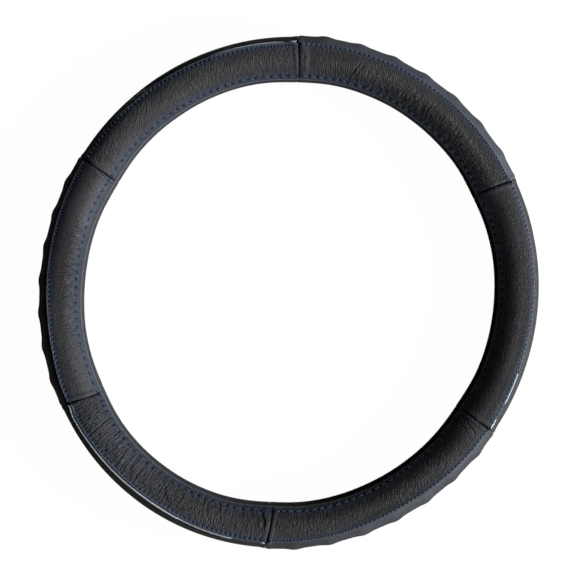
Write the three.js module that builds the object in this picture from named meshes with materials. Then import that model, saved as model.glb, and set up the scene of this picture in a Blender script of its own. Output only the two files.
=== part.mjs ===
// Slip-on steering wheel cover, in millimetres, lying on its back with the ring's axis along +Z.
// A moulded rubber ring of C-shaped section grips the wheel's rim through its inner mouth. Six
// sectors of leather are sewn over it: a front panel, an outer panel and a back panel in each.
// Outer panels are in turn padded for the fingers, or perforated with a piping at their front edge.
//
// Two angles place everything. Around the ring, the bearing is measured clockwise from the top,
// as seen from the front (+Z). Round the section, 0 degrees points away from the ring's axis,
// 90 degrees is the front, -90 degrees is the back and 180 degrees is the middle of the mouth.
import * as THREE from 'three';

// The wheel that the cover fits
const wheelDiameter = 380;
const rimThickness = 27;

// Rubber ring
const rubberWall = 2.3;
const mouthHalfAngle = 20;
const lipBulge = 0.5;

// Leather, and the clearance between layers that lie on each other
const leatherThickness = 1.2;
const seatGap = 0.3;
const seatTolerance = 0.01;

// Shape of the sewn ring: a little out of round, its front drawn inwards on one side
const ovality = 3.6;
const ovalBearing = 24;
const lobing = 0.75;
const lobeBearing = 95;
const frontRoll = 4;
const rollBearing = 275;
const restFlatWidth = 8;
const restFlatShare = 0.9;

// Sectors: bearings of the six cross seams, which were sewn by hand and aren't quite even
const seamBearings = [2.1, 63.1, 124.3, 185.2, 243.6, 303.2];
const seamGap = 0.3;
const seamRollWidth = 1.3;
const seamRollDepth = 0.75;

// The stiff cross seams hold the lips in towards the axis, further than the leather between them
const seamHold = 1.2;
const seamHoldReach = 8;

// Edges of the panels: where the front fold lies round the section, and how far the hem stays
// back from the rubber's lip
const foldAngle = 48;
const hemMargin = 1;
const edgeGap = 0.3;
const tuckWidth = 1.8;
const tuckDepth = 0.4;

// Stitch rows, as distances in from the panel's edges
const foldWidth = 4.2;
const foldRise = 0.35;
const foldRoll = 0.7;
const topStitchInset = 2;
const hemStitchInset = 6;
const stitchGrooveDepth = 0.25;

// Finger grips
const gripCount = 7;
const gripStart = 6.1;
const gripEnd = 6.6;
const gripShoulder = 0.55;
const gripPadding = 0.8;
const gripHeight = 1.15;
const gripSharpness = 2.4;
const gripFullness = 0.8;
const gripEndStrip = 2;

// Gathers: folds that the hem stitches draw into each front panel, counted sector by sector
const gatherFolds = [0, 0, 0, 17, 0, 0];
const gatherDepth = 0.5;
const gatherReach = 15;

// Piping
const pipingDiameter = 1.2;
const pipingProud = 0.4;

// Fineness of the facets
const ringSegments = 60;
const sectionFacet = 30;
const frontFacets = 4;
const backFacets = 1;
const outerFacets = 4;
const frontSteps = 18;
const backSteps = 9;
const outerSteps = 13;
const stepsPerGrip = 5;
const pipingSides = 6;

// Sizes that follow from the ones above
const channelRadius = rimThickness / 2;
const ringRadius = wheelDiameter / 2 - channelRadius;
const rubberRadius = channelRadius + rubberWall;
const seatRadius = rubberRadius + seatGap;
const skinRadius = seatRadius + leatherThickness;
const centreHeight = Math.sqrt(skinRadius ** 2 - (restFlatWidth / 2) ** 2);
const restHalfAngle = degrees(Math.asin(restFlatWidth / 2 / skinRadius));
const lipAngle = 180 - mouthHalfAngle;
const hemAngle = lipAngle - across(hemMargin);

const leather = { color: 0x2c2c30, roughness: 0.55, metalness: 0 };
const perforatedLeather = { color: 0x34343a, roughness: 0.6, metalness: 0 };
const pipingFilm = { color: 0xc4d8e6, roughness: 0.25, metalness: 0 };
const rubber = { color: 0x151516, roughness: 0.7, metalness: 0 };

function radians(angle) {
  return angle * Math.PI / 180;
}

function degrees(angle) {
  return angle * 180 / Math.PI;
}

// Degrees round the section that a length on the skin takes up
function across(length) {
  return degrees(length / skinRadius);
}

// Degrees around the ring that a length at the ring's own radius takes up
function along(length) {
  return degrees(length / ringRadius);
}

// Radius of the sewn ring, and how far the nearest cross seam pulls its lips in
function sewnRadius(bearing) {
  const oval = ovality * Math.cos(2 * radians(bearing - ovalBearing));
  return ringRadius + oval + lobing * Math.cos(3 * radians(bearing - lobeBearing));
}

function lipPull(bearing) {
  const gaps = seamBearings.map((seam) => Math.abs((bearing - seam + 540) % 360 - 180));
  return seamHold * Math.exp(-((Math.min(...gaps) / seamHoldReach) ** 2));
}

// The point at a bearing around the ring, an angle round the section and a distance from its
// centre. Nothing goes below the surface that the cover lies on, which presses its back flat.
function ringPoint(bearing, angle, distance) {
  const frontness = (1 + Math.sin(radians(angle))) / 2;
  const lipness = ((1 - Math.cos(radians(angle))) / 2) ** 2;
  const rolled = radians(angle + frontRoll * frontness * Math.cos(radians(bearing - rollBearing)));
  const radius = sewnRadius(bearing) - lipPull(bearing) * lipness;
  const out = radius + distance * Math.cos(rolled);
  const height = Math.max(0, centreHeight + distance * Math.sin(rolled));
  const turn = radians(bearing);
  return new THREE.Vector3(out * Math.sin(turn), out * Math.cos(turn), height);
}

// A flat outline, drawn with the section's angle across and the distance from its centre up,
// becomes a closed strip that follows the ring through a list of bearings. The relief adds
// height to the strip's outside, and none to the side that lies on the rubber.
function bentStrip(outline, bearings, relief) {
  const steps = bearings.length - 1;
  const strip = new THREE.ExtrudeGeometry(outline, { depth: steps, steps, bevelEnabled: false });
  const position = strip.getAttribute('position');
  for (let i = 0; i < position.count; i++) {
    const angle = -position.getX(i);
    const distance = position.getY(i);
    const step = Math.round(position.getZ(i));
    const isSeat = distance < seatRadius + seatTolerance;
    const lift = isSeat ? 0 : relief(angle, step, distance);
    const point = ringPoint(bearings[step], angle, distance + lift);
    position.setXYZ(i, point.x, point.y, point.z);
  }
  strip.computeVertexNormals();
  return strip;
}

function outlineOf(corners) {
  return new THREE.Shape(corners.map(([angle, distance]) => new THREE.Vector2(-angle, distance)));
}

// Angles between the lips at which the rubber has its facets' edges. What lies on the rubber has
// edges at the same angles, so that no flat facet cuts into a corner below it.
function sharedFacets() {
  const angles = [];
  for (let angle = 0; angle < lipAngle - sectionFacet / 2; angle += sectionFacet) {
    angles.push(angle);
    if (angle > 0) angles.unshift(-angle);
  }
  return angles;
}

function seatCorners(from, to) {
  const low = Math.min(from, to) + across(edgeGap);
  const high = Math.max(from, to) - across(edgeGap);
  const between = sharedFacets().filter((angle) => angle > low && angle < high);
  const angles = from < to ? between : between.reverse();
  return [from, ...angles, to].map((angle) => [angle, seatRadius]);
}

// Bearings of a panel's steps, with a narrow step at each end where the leather turns down
function panelBearings(from, to, steps) {
  const start = from + along(seamGap / 2);
  const end = to - along(seamGap / 2);
  const roll = along(seamRollWidth);
  const inner = [];
  for (let i = 0; i <= steps; i++) {
    inner.push(start + roll + (end - start - 2 * roll) * i / steps);
  }
  return [start, ...inner, end];
}

// Turns the leather down into the seam at both ends of a panel
function seamRelief(step, lastStep, distance) {
  const isEnd = step === 0 || step === lastStep;
  return isEnd ? -seamRollDepth * (distance - seatRadius) / leatherThickness : 0;
}

// Angles that divide the stretch between two angles evenly, without the two themselves
function spread(from, to, count) {
  return Array.from({ length: count }, (_, i) => from + (to - from) * (i + 1) / (count + 1));
}

// Front or back panel: its outer edge is folded under and topstitched, and its hem is stitched
// through the rubber's lip. The back panel also has the flat that the cover lies on.
function faceOutline(side) {
  const top = skinRadius;
  const foldEnd = foldAngle + across(foldWidth);
  const hemStitch = hemAngle - across(hemStitchInset);
  const fold = [
    [foldAngle, seatRadius + leatherThickness / 2],
    [foldAngle + across(foldRoll), top + foldRise],
    [foldAngle + across(topStitchInset), top + foldRise - stitchGrooveDepth],
    [foldEnd, top],
  ];
  const hem = [
    [hemStitch, top - stitchGrooveDepth],
    [hemAngle - across(leatherThickness / 2), top],
    [hemAngle, seatRadius + leatherThickness / 2],
  ];
  const flatStart = 90 - restFlatShare * restHalfAngle;
  const flatEnd = 90 + restFlatShare * restHalfAngle;
  const backMiddle = [
    ...spread(foldEnd, flatStart, backFacets),
    flatStart,
    flatEnd,
    ...spread(flatEnd, hemStitch, backFacets),
  ];
  const middle = side > 0 ? spread(foldEnd, hemStitch, frontFacets) : backMiddle;
  const crown = middle.map((angle) => [angle, top]);
  const corners = [...fold, ...crown, ...hem, ...seatCorners(hemAngle, foldAngle)];
  return outlineOf(corners.map(([angle, distance]) => [side * angle, distance]));
}

// The leather rises and falls between the hem stitches, and the folds die away towards the crown
function gatherRelief(angle, step) {
  const hemStitch = hemAngle - across(hemStitchInset);
  const reached = (angle - hemStitch + across(gatherReach)) / across(gatherReach);
  const share = Math.max(0, Math.min(1, reached));
  return (step % 2 === 0 ? -0.5 : 0.5) * gatherDepth * share;
}

function backPanel(from, to) {
  const bearings = panelBearings(from, to, backSteps);
  const last = bearings.length - 1;
  return bentStrip(faceOutline(-1), bearings, (angle, step, distance) => (
    seamRelief(step, last, distance)
  ));
}

function frontPanel(from, to, folds) {
  const bearings = panelBearings(from, to, folds > 0 ? 2 * folds : frontSteps);
  const last = bearings.length - 1;
  return bentStrip(faceOutline(1), bearings, (angle, step, distance) => {
    const isPlain = folds === 0 || step < 2 || step > last - 2;
    return seamRelief(step, last, distance) + (isPlain ? 0 : gatherRelief(angle, step));
  });
}

// Outer panel: its edges are tucked under the folds of the front and back panels
function outerOutline(frontEdge, backEdge) {
  const top = skinRadius;
  const frontTuck = frontEdge - across(tuckWidth);
  const backTuck = backEdge + across(tuckWidth);
  const outside = [frontTuck, ...spread(frontTuck, backTuck, outerFacets), backTuck];
  return outlineOf([
    [backEdge, top - tuckDepth],
    ...outside.reverse().map((angle) => [angle, top]),
    [frontEdge, top - tuckDepth],
    ...seatCorners(frontEdge, backEdge),
  ]);
}

// Bearings of a finger grip's crests, evenly spread between the margins at its seams
function gripBearings(from, to) {
  const first = from + gripStart;
  const pitch = (to - gripEnd - first) / (gripCount - 1);
  return { first, pitch };
}

function gripRelief(angle, bearing, from, to) {
  const { first, pitch } = gripBearings(from, to);
  const reach = foldAngle - across(edgeGap);
  const swell = Math.cos(radians(90 * Math.min(1, Math.abs(angle) / reach))) ** gripFullness;
  const place = (bearing - first) / pitch;
  const inGrip = place > -gripShoulder && place < gripCount - 1 + gripShoulder;
  const wave = inGrip ? ((1 + Math.cos(2 * Math.PI * place)) / 2) ** gripSharpness : 0;
  return swell * (gripPadding + gripHeight * wave);
}

function gripPanel(from, to) {
  const { first, pitch } = gripBearings(from, to);
  const start = from + along(seamGap / 2);
  const end = to - along(seamGap / 2);
  const roll = along(seamRollWidth);
  const strip = along(gripEndStrip);
  const bearings = [start, start + roll];
  const steps = (gripCount - 1) * stepsPerGrip;
  const margin = Math.floor(stepsPerGrip / 2) + 1;
  for (let i = -margin; i <= steps + margin; i++) {
    const bearing = first + pitch * i / stepsPerGrip;
    if (bearing > start + strip && bearing < end - strip) bearings.push(bearing);
  }
  bearings.push(end - roll, end);
  const last = bearings.length - 1;
  const edge = foldAngle - across(edgeGap);
  return bentStrip(outerOutline(edge, -edge), bearings, (angle, step, distance) => {
    if (step === 0 || step === last) return seamRelief(step, last, distance);
    return gripRelief(angle, bearings[step], from, to);
  });
}

function perforatedPanel(from, to) {
  const bearings = panelBearings(from, to, outerSteps);
  const last = bearings.length - 1;
  const backEdge = -(foldAngle - across(edgeGap));
  const frontEdge = foldAngle - across(2 * edgeGap + pipingDiameter);
  return bentStrip(outerOutline(frontEdge, backEdge), bearings, (angle, step, distance) => (
    seamRelief(step, last, distance)
  ));
}

// Piping in the groove between a perforated panel and the fold of its front panel
function piping(from, to) {
  const radius = pipingDiameter / 2;
  const angle = foldAngle - across(edgeGap + radius);
  const distance = skinRadius + pipingProud - radius;
  const corners = [];
  for (let i = 0; i < pipingSides; i++) {
    const turn = 2 * Math.PI * (i + 0.5) / pipingSides;
    corners.push([angle + across(radius * Math.cos(turn)), distance + radius * Math.sin(turn)]);
  }
  const inset = along(seamRollWidth);
  const bearings = panelBearings(from + inset, to - inset, outerSteps);
  return bentStrip(outlineOf(corners), bearings, () => 0);
}

// The rubber ring is turned as a round ring first, then takes the sewn ring's shape
function rubberRing() {
  const outside = [-lipAngle, ...sharedFacets(), lipAngle];
  const insideSteps = outside.length - 1;
  const profile = outside.map((angle) => [angle, rubberRadius]);
  profile.push([lipAngle + across(lipBulge), channelRadius + rubberWall / 2]);
  for (let i = insideSteps; i >= 0; i--) {
    profile.push([-lipAngle + 2 * lipAngle * i / insideSteps, channelRadius]);
  }
  profile.push([-lipAngle - across(lipBulge), channelRadius + rubberWall / 2]);
  profile.push(profile[0]);
  const points = profile.map(([angle, distance]) => new THREE.Vector2(
    ringRadius + distance * Math.cos(radians(angle)),
    distance * Math.sin(radians(angle)),
  ));
  const ring = new THREE.LatheGeometry(points, ringSegments);
  ring.rotateX(Math.PI / 2);
  const position = ring.getAttribute('position');
  for (let i = 0; i < position.count; i++) {
    const x = position.getX(i);
    const y = position.getY(i);
    const z = position.getZ(i);
    const out = Math.hypot(x, y) - ringRadius;
    const bearing = degrees(Math.atan2(x, y));
    const point = ringPoint(bearing, degrees(Math.atan2(z, out)), Math.hypot(out, z));
    position.setXYZ(i, point.x, point.y, point.z);
  }
  ring.computeVertexNormals();
  return ring;
}

function named(name, geometry, finish) {
  const mesh = new THREE.Mesh(geometry, new THREE.MeshStandardMaterial(finish));
  mesh.name = name;
  return mesh;
}

const cover = new THREE.Group();
cover.add(named('rubber_ring', rubberRing(), rubber));
seamBearings.forEach((from, index) => {
  const isLast = index === seamBearings.length - 1;
  const to = isLast ? seamBearings[0] + 360 : seamBearings[index + 1];
  const number = index + 1;
  const pair = Math.floor(index / 2) + 1;
  cover.add(named(`front_panel_${number}`, frontPanel(from, to, gatherFolds[index]), leather));
  cover.add(named(`back_panel_${number}`, backPanel(from, to), leather));
  if (index % 2 === 0) {
    cover.add(named(`grip_panel_${pair}`, gripPanel(from, to), leather));
  } else {
    cover.add(named(`perforated_panel_${pair}`, perforatedPanel(from, to), perforatedLeather));
    cover.add(named(`piping_${pair}`, piping(from, to), pipingFilm));
  }
});

export default cover;
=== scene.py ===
# Looks of the steering wheel cover: leather, thread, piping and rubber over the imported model
import math

import bpy
import numpy as np
from mathutils import Matrix, Vector


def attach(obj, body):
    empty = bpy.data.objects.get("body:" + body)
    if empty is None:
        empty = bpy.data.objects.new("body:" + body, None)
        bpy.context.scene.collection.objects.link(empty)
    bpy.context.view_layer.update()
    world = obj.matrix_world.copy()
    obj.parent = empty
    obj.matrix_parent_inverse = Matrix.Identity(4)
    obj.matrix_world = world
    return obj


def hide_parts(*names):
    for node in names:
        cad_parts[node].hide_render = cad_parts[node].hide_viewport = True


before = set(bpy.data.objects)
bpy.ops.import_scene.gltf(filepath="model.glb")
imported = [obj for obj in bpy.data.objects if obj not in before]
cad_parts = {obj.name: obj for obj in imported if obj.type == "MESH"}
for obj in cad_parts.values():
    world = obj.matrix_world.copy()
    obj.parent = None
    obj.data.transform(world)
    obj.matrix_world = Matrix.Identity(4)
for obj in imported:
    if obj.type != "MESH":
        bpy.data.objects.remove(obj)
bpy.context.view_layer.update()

SIDES = {1: "front", -1: "back"}

# Every length below is in millimetres and every angle in degrees, up to the points of a mesh
MM = 0.001

# The model's own sizes, which the looks are laid on
WHEEL_DIAMETER = 380
RIM_THICKNESS = 27
RUBBER_WALL = 2.3
MOUTH_HALF_ANGLE = 20
LEATHER = 1.2
SEAT_GAP = 0.3
OVALITY = 3.6
OVAL_BEARING = 24
LOBING = 0.75
LOBE_BEARING = 95
FRONT_ROLL = 4
ROLL_BEARING = 275
REST_FLAT = 8
SEAMS = (2.1, 63.1, 124.3, 185.2, 243.6, 303.2)
SEAM_GAP = 0.12
SEAM_HOLD = 1.2
SEAM_HOLD_REACH = 8
FOLD_ANGLE = 48
HEM_MARGIN = 1
EDGE_GAP = 0.3
FOLD_WIDTH = 4.2
FOLD_RISE = 0.35
GRIP_COUNT = 7
GRIP_START = 6.1
GRIP_END = 6.6
GRIP_SHOULDER = 0.55
GRIP_PADDING = 0.8
GRIP_HEIGHT = 1.15
GRIP_SHARPNESS = 2.4
GRIP_FULLNESS = 0.8
PIPING_RADIUS = 0.65
PIPING_PROUD = 1.5
PIPING_OUT = 0.7

CHANNEL_RADIUS = RIM_THICKNESS / 2
RING_RADIUS = WHEEL_DIAMETER / 2 - CHANNEL_RADIUS
RUBBER_RADIUS = CHANNEL_RADIUS + RUBBER_WALL
SEAT = RUBBER_RADIUS + SEAT_GAP
SKIN = SEAT + LEATHER
CENTRE_HEIGHT = math.sqrt(SKIN ** 2 - (REST_FLAT / 2) ** 2)
LIP_ANGLE = 180 - MOUTH_HALF_ANGLE
HEM_ANGLE = LIP_ANGLE - math.degrees(HEM_MARGIN / SKIN)

# Fineness of the meshes: the step along a panel and across it, and counts of points. Those at a
# panel's ends crowd towards its seams
FRONT_MESH = (0.5, 0.52)
BACK_MESH = (1.0, 1.1)
GRIP_MESH = (0.65, 0.8)
EDGE_POINTS = 7
UNDERSIDE_POINTS = 7
SEAM_POINTS = 9
SEAM_CROWDING = 1.6
PIPING_STATIONS = 260
PIPING_SIDES = 14
RUBBER_STATIONS = 240
RUBBER_POINTS = 44
LIP_POINTS = 7

# Where two sectors meet, the leather swells, then rolls down into the seam, widest at the folded
# corner. The seams lean a little on their way over the front
SEAM_REACH = 2.0
SEAM_ROLL = 0.8
SEAM_DEPTH = 1.0
SEAM_CORNER_ROLL = 1.3
SEAM_CORNER_DEPTH = 0.15
# Painted shade down in each seam: its amount, fade, and widening and reach at the corner
SEAM_SHADE = 0.95
SEAM_SHADE_FADES = (0.35, 1.0)
SEAM_CORNER_SHADE = 0.8
SEAM_CORNER_WIDTH = 5
SEAM_FLAT_FROM = 24
SEAM_FLAT_TO = 31
SEAM_FLATNESS = 0.85
OUTER_SEAM = {"roll": 0.3, "depth": 0.25, "swell": 0.6, "at": 0.8, "width": 2.2}
SEAM_SWELL = 0.35
SEAM_SWELL_AT = 2.2
SEAM_SWELL_WIDTH = 1.3
SEAM_LEAN = (0.6, -0.8, -0.3, -0.9, -1.3, -0.3)
SEAM_LEAN_REACH = 3.5
SEAM_LEAN_WIDTH = 24

# The front is held flatter than the round rim towards its fold, and leans inwards. The first part
# of this is in the mesh. The rest, the crown, is in how it catches the light, and its lean sets in
# between two places counted outwards from the front's middle
FOLD_LIFT = 0.7
FOLD_LIFT_WIDTH = 12
DOUBLED_SHARE = 0.55
CROWN_LEAN = 0.16
CROWN_LEAN_FROM = -17
CROWN_LEAN_TO = -8
CROWN_FLATNESS = 0.33
CROWN_PLACES = (-2, 36, 400)
CROWN_STARTS = (-0.2, 0.5)

# The fold wanders across the rim: bearing, reach along it, and length towards the front's middle
FOLD_SHIFTS = (
    (62, 26, 1.1), (104, 16, 2.0), (148, 34, 2.0), (153, 13, 1.4), (214, 15, 3.0), (232, 9, 0.8),
    (242.8, 1.7, 1.6), (262, 12, 0.9), (285, 16, -1.4), (311, 20, -2.9), (358, 13, 0.9),
)
FOLD_SHIFT_WIDTH = 12

# The hem stops short of the lip, least around one bearing: degrees, by how many fewer there, the
# bearing, and how far from the fold this sets in
HEM_RETREAT = 6.5
HEM_FULL_RETREAT = 5.5
HEM_FULL_BEARING = 25
HEM_RETREAT_FROM = 24

# Stitch rows. The top row's stitches get shorter from a certain share of each sector on, and the
# hem row wanders across the panel
TOP_PITCH = 3.45
TOP_SHORT_PITCH = 2.5
TOP_SHORT_FROM = (0.58, 1.0, 0.66, 0.86, 0.5, 0.85)
TOP_UNEVENNESS = 0.04
TOP_INSETS = (2.1, 2.0, 2.1, 3.1, 2.7, 2.8)
TOP_ROW_WANDER = 0.12
TOP_ROW_REACH = 6
HEM_PITCH = 6.3
HEM_UNEVENNESS = 0.13
STITCH_INSET = 1.8
HEM_ROW_ANGLE = 136.5
HEM_ROW_SWING = 5
HEM_ROW_BEARING = 50
HEM_ROW_WANDER = 0.35
HEM_ROW_REACH = 7
HEM_ROW_SHIFTS = (
    (40, 15, 1.5), (132, 20, 10), (152, 12, 2), (215, 26, 2), (232, 10, 1.2), (250, 10, 4),
    (284, 26, -6.5), (297, 15, -4.5), (312, 12, -3),
)

# Thread, and the marks that it leaves: needle holes, a groove, and puckers between the holes
THREAD_RADIUS = 0.27
HEM_THREAD_RADII = (0.36, 0.22, 0.36, 0.22, 0.22, 0.26)
THREAD_ARCH = 0.22
THREAD_SINK = 0.26
THREAD_SIDES = 8
THREAD_RINGS = 7
TOP_HOLE = 0.8
HEM_HOLE = 1.3
HOLE_DEPTH = 0.3
HOLE_STRETCH = 1.2
GROOVE_DEPTH = 0.08
GROOVE_WIDTH = 0.6
GROOVE_SHADE = 0.4
TOP_PUCKER = 0.06
TOP_PUCKER_REACH = 2.2
PUCKER_DRIFT = 1.6
PUCKER_FADE = 1.5
PUCKER_SHAPE = 0.8
PUCKER_LEVEL = 0.6
TOP_TINT_WIDTH = 2.8
HEM_TINT_WIDTH = 4.2

# Looks of each front's leather, and of all the backs: depth of its hair wrinkles, which run up and
# down the flat ring, and of its fan wrinkles, which run from hem to fold, the stretch across the
# panel where the fan is strong, its middle and reach along the ring, and the depth and reach of
# the hem stitches' puckers
STYLE_KEYS = ("hair", "fan", "from", "to", "middle", "half", "pucker", "reach")
FRONT_STYLES = (
    (0.22, 0.80, 14, 28, 38, 20, 0.3, 8),
    (0.09, 0.0, 8, 22, 93, 60, 0.14, 4),
    (0.16, 0.10, 10, 24, 172, 12, 0.16, 4),
    (0.18, 0.60, 5, 28, 222, 22, 0.5, 14),
    (0.03, 0.26, 13, 27, 270, 18, 0.2, 4),
    (0.23, 0.08, 14, 28, 330, 30, 0.24, 6),
)
BACK_STYLE = (0.0, 0.2, 6, 26, 0, 2000, 0.24, 6)

# Wrinkles of the mesh, and where across the panel they start and end
WRINKLE_PITCH = 0.8
WRINKLE_LENGTH = 3.2
FAN_LENGTH = 1.3 * WRINKLE_LENGTH
WRINKLE_SHARE = 0.6
FINE_SHARE = 0.55
CREASE_SHARPNESS = 3.0
HAIR_FROM = 2
HAIR_FULL = 7
WRINKLE_WARP = 0.7
WARP_REACH = 6
DEEPEST_CREASE = 0.3
CALM_FROM = 28
CALM_TO = 32

# Height of broad lumps of the leather
PANEL_LUMPS = 0.12
GRIP_LUMPS = 0.10
GRIP_DIMPLES = 0.03
PERFORATED_LUMPS = 0.08

# Where the hair wrinkles start further down from the fold: bearing, reach, length
SMOOTH_TOPS = ((44, 16, 5),)

# Fine strokes in the material: for the hair, how many to a metre across and along it, and for the
# fan, how many to a millimetre along the ring and across the panel
HAIR_STRETCH = (1300, 210, 210)
HAIR_DEPTH = 0.5
FAN_STRETCH = (0.85, 0.13, 1)
FAN_DEPTH = 1.0

# The folded edge of each sector's front stands up as a fine ridge
EDGE_RIDGES = (0.1, 0.1, 0.14, 0.1, 0.4, 0.35)
EDGE_RIDGE_INSET = 1.35
EDGE_RIDGE_WIDTH = 0.5

# Painted highlight along each sector's folded edge, a paler hem, and painted light on grip fronts
FOLD_EDGE_HIGHLIGHT = (0.5, 0.35, 0.5, 0.5, 1.0, 0.8)
FOLD_EDGE_HIGHLIGHT_FADES = (1.3, 2.2)
HEM_PALENESS = 0.65
HEM_PALENESS_FADES = (2.2, 1.4)
GRIP_PAINTED_LIGHT = (0.32, 0.15, 0.0)
GRIP_PAINTED_LIGHT_FADES = (-10, 28)

# Paler patches and specks: bearing, reach along the ring, place across the panel, reach across,
# amount
PALE_PATCHES = (
    (229, 17, 14, 16, 0.20), (268, 13, 19, 7, 0.17), (113, 12, 4.5, 2.5, 0.16),
    (136, 26, 4.5, 2.5, 0.15), (33, 14, 2.5, 2.5, 0.12), (285.3, 0.25, 18, 0.8, 1.0),
    (289.0, 0.3, 23, 1.2, 0.6),
)

# Single folds of each sector's front: bearing and place across the panel where each starts, the
# same where it ends, depth and width. A fold of negative depth stands up
FOLDS = {
    0: (
        (17.2, 9, 15.3, 23, 0.45, 0.5), (18.6, 9, 16.8, 23, 0.45, 0.5),
        (36.5, 14, 37.8, 25, 0.25, 0.5), (3.7, 1, 3.8, 27, -0.35, 1.9),
    ),
    2: ((127.6, 8, 125.9, 20, 0.5, 0.7), (129.0, 9, 127.6, 20, 0.35, 0.5)),
    3: (
        (210.4, 10, 216.2, 30, 0.5, 0.6), (197.0, 12, 198.2, 26, 0.35, 0.6),
        (200.2, 11, 201.4, 25, 0.5, 0.9), (204.3, 10, 205.6, 26, 0.3, 0.6),
        (207.6, 12, 208.6, 27, 0.3, 0.6), (216.6, 11, 217.2, 27, 0.35, 0.6),
        (219.6, 8, 220.0, 27, 0.35, 0.6), (222.3, 7, 223.0, 28, 0.4, 0.7),
        (225.6, 8, 226.4, 28, 0.4, 0.7), (228.0, 6, 229.0, 28, 0.45, 0.7),
        (230.4, 7, 231.3, 28, 0.4, 0.6), (232.4, 6, 233.6, 28, 0.4, 0.6),
        (234.8, 7, 235.4, 28, 0.4, 0.6), (238.0, 8, 238.9, 27, 0.35, 0.6),
        (186.9, 12, 187.4, 27, 0.6, 0.9),
    ),
    4: ((302.5, 14, 301.7, 28, 0.5, 0.6),),
}
FOLD_WAVER = 0.25
# Painted shade in each fold's groove
FOLD_SHADE = 0.8
BANK_SHARE = 0.4
BANK_PLACE = 2.3
BANK_WIDTH = 1.3

# The rubber's lips are thickened where the leather stops short of them
LIP_BEAD = 0.5
LIP_BEAD_INSET = 6
LIP_BEAD_WIDTH = 7

# Piping: stretches of bearings with how much of it shows there, its size and depth where it is
# hidden, its ends, and how far the fold covers it where it is hidden and where it shows
PIPING_SHOWS = (
    (109.3, 117.2, 0.6), (121.4, 125.0, 0.75),
    (185.0, 186.6, 0.8), (193.0, 245.0, 0.7), (206.0, 245.0, 1.0),
    (303.0, 363.0, 0.3), (315.0, 328.0, 0.6), (316.5, 326.5, 0.8), (318.0, 325.0, 1.0),
    (341.0, 359.0, 0.6), (342.5, 357.5, 0.8), (360.2, 362.4, 1.0),
)
PIPING_RAMP = 1.2
HIDDEN_SIZE = 0.45
HIDDEN_DEPTH = 0.3
PIPING_TAPER = (0.35, 0.8)
PIPING_END_GAP = 1.0
PIPING_COVER = 1.2
PIPING_CLEAR = -0.35
PIPING_COVER_FROM = 0.3

# Pinholes of the perforated panels, and the tuck of these panels' edges under the folds
PINHOLE_PITCH = 1.9
PINHOLE_RADIUS = 0.45
PINHOLE_DEPTH = 0.7
PINHOLE_SIDES = 8
TUCK_DEPTH = 0.55
TUCK_WIDTH = 2.2

# Panels' edges start just above their seat, and an outer panel's edge lies lower than its middle
UNDER_GAP = 0.05
OUTER_EDGE_DROP = 0.25
OUTER_EDGE_RISE = (0.4, 2.2)
GRIP_END_FADE = 3

# Seeds of noise
ROW_SEED = 71
TOP_ROW_SEED = 5
HEM_ROW_SEED = 33
GRIP_SEED = 700
PERFORATED_SEED = 900

# Colours, as linear red, green and blue
LEATHER_COLOUR = (0.044, 0.044, 0.051)
GRIP_COLOUR = (0.052, 0.050, 0.053)
PERFORATED_COLOUR = (0.054, 0.053, 0.056)
# Painted shade in creases, folds and the valleys of the grain
CREASE_SHADE_COLOUR = (0.012, 0.012, 0.014)
TINT_COLOUR = (0.045, 0.064, 0.102)
# Painted highlight and painted light on fold edges and grips; also paler hems and patches
HIGHLIGHT_AND_PALE_COLOUR = (0.18, 0.22, 0.29)
# Painted shade down in needle holes, pinholes, seams and the top row's groove
HOLE_SHADE_COLOUR = (0.002, 0.005, 0.018)
THREAD_COLOUR = (0.045, 0.085, 0.165)
PIPING_COLOUR = (0.82, 0.90, 0.95)
PIPING_SHADE = (0.60, 0.72, 0.82)
RUBBER_COLOUR = (0.034, 0.035, 0.038)
RUBBER_DUST = (0.052, 0.053, 0.057)

# Textures of the leather, in features to a metre, and their depths
FRONT_GRAIN = (860, 0.10)
OUTER_GRAIN = (1150, 0.05)
TONE_SCALE = 38
TONE_SPREAD = (0.86, 1.16)
PATCH_SCALE = 430
PATCH_DEPTH = 0.3
PORE_SCALE = 2400
PORE_DEPTH = 0.06
GLOSS_SCALE = 160
LEATHER_ROUGHNESS = (0.44, 0.58)
LEATHER_SPECULAR = 0.45
GLOSS_SPREAD = 0.06

# Sockets of a colour mix: its two colours and its result
MIX_COLOURS = (6, 7)
MIX_RESULT = 2


def across(length):
    """Degrees round the section that a length on the skin takes up."""
    return np.degrees(length / SKIN)


def along(length):
    """Degrees around the ring that a length at the ring's own radius takes up."""
    return np.degrees(length / RING_RADIUS)


def arc(bearing):
    """Length around the ring, at the ring's own radius."""
    return np.radians(bearing) * RING_RADIUS


def inset(angle):
    """Length round the section from the fold."""
    return np.radians(np.abs(angle) - FOLD_ANGLE) * SKIN


def off_bearing(bearing, middle):
    """Degrees from one bearing to another, from -180 to 180."""
    return (bearing - middle + 540) % 360 - 180


def lip_pull(bearing):
    """How far the nearest cross seam holds the lips in towards the axis."""
    gaps = [np.abs(off_bearing(bearing, seam)) for seam in SEAMS]
    return SEAM_HOLD * np.exp(-(np.minimum.reduce(gaps) / SEAM_HOLD_REACH) ** 2)


def ring_points(bearing, angle, distance):
    """Points, in metres, at a bearing, an angle round the section and a length from its centre."""
    oval = OVALITY * np.cos(2 * np.radians(bearing - OVAL_BEARING))
    lobes = LOBING * np.cos(3 * np.radians(bearing - LOBE_BEARING))
    frontness = (1 + np.sin(np.radians(angle))) / 2
    lipness = ((1 - np.cos(np.radians(angle))) / 2) ** 2
    roll = FRONT_ROLL * frontness * np.cos(np.radians(bearing - ROLL_BEARING))
    rolled = np.radians(angle + roll)
    radius = RING_RADIUS + oval + lobes - lip_pull(bearing) * lipness
    out = radius + distance * np.cos(rolled)
    height = np.maximum(0, CENTRE_HEIGHT + distance * np.sin(rolled))
    turn = np.radians(bearing)
    return np.stack([out * np.sin(turn), out * np.cos(turn), height], -1) * MM


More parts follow.
